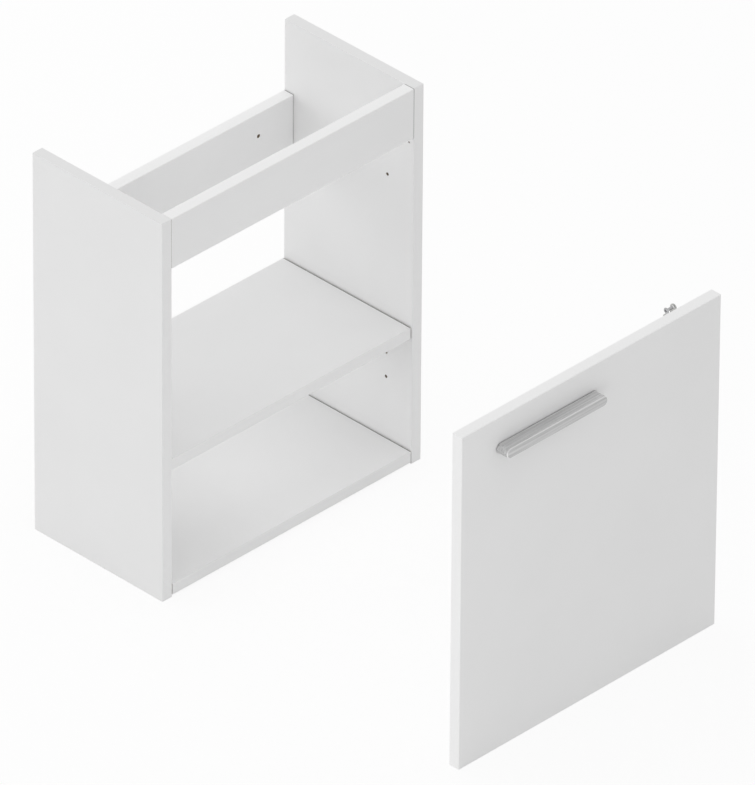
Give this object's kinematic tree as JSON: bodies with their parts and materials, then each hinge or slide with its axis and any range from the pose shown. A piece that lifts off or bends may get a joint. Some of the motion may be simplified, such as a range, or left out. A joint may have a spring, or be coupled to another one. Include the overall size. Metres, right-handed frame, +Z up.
{
  "type": "vanity unit",
  "caption": "Open-backed white board vanity unit with two top rails, a loose shelf and one hinged door with a round-ended bar handle, door taken off and stood in front.",
  "frame": {"origin": "on the floor, at the middle of the box that the carcass and the taken-off door fill together", "axes": "+X to the right across the unit seen from its front, +Y from the front to the wall behind, +Z up"},
  "size_m": [0.5, 0.8364, 0.615],
  "materials": {
    "white_board": "18 mm particle board faced in matt white melamine with a very fine pearl grain",
    "white_edging": "1 mm white edge band, satin, with slightly rounded arrises",
    "beech": "fluted beech dowel, bare",
    "zinc_steel": "bright zinc-plated steel",
    "zinc_casting": "bare die-cast zinc, dull",
    "peg_steel": "nickel-plated steel peg",
    "hinge_steel": "nickel-plated pressed steel, satin",
    "screw_steel": "bright zinc-plated steel screw",
    "handle_aluminium": "aluminium, brushed lengthwise, with a bright bevelled rim",
    "clear_pad": "clear soft polyurethane pad"
  },
  "bodies": {
    "carcass": {"left_side_panel": "white_board", "right_side_panel": "white_board", "left_side_edging": "white_edging", "right_side_edging": "white_edging", "bottom_panel": "white_board", "bottom_edging": "white_edging", "front_rail": "white_board", "front_rail_edging": "white_edging", "back_rail": "white_board", "back_rail_edging": "white_edging", "dowels": "beech", "cam_bolts": "zinc_steel", "cam_locks": "zinc_casting", "shelf_pegs": "peg_steel"},
    "shelf": {"shelf_panel": "white_board", "shelf_edging": "white_edging"},
    "hinges": {"lower_hinge_plate": "hinge_steel", "upper_hinge_plate": "hinge_steel", "lower_hinge_arm": "hinge_steel", "upper_hinge_arm": "hinge_steel", "adjusting_screws": "screw_steel"},
    "fixing_screws": {"plate_screws": "screw_steel"},
    "door": {"door_panel": "white_board", "door_edging": "white_edging", "lower_hinge_cup": "hinge_steel", "upper_hinge_cup": "hinge_steel", "hinge_pins": "screw_steel", "cup_screws": "screw_steel", "handle": "handle_aluminium", "handle_screws": "screw_steel", "door_bumpers": "clear_pad"}
  },
  "joints": [
    {"name": "door_off", "type": "slide", "parent": "carcass", "child": "hinges", "axis": [0, 1, 0.0037], "range_m": [0, 0.545]},
    {"name": "door_swing", "type": "hinge", "parent": "hinges", "child": "door", "pos_m": [0.2406, -0.38875, 0.3055], "axis": [0, 0, 1], "range_deg": [0, 95]},
    {"name": "plate_screws_in", "type": "slide", "parent": "hinges", "child": "fixing_screws", "axis": [1, 0, 0], "range_m": [0, 0.012]},
    {"name": "shelf_lift", "type": "slide", "parent": "carcass", "child": "shelf", "axis": [0, 0, 1], "range_m": [0, 0.12]}
  ]
}
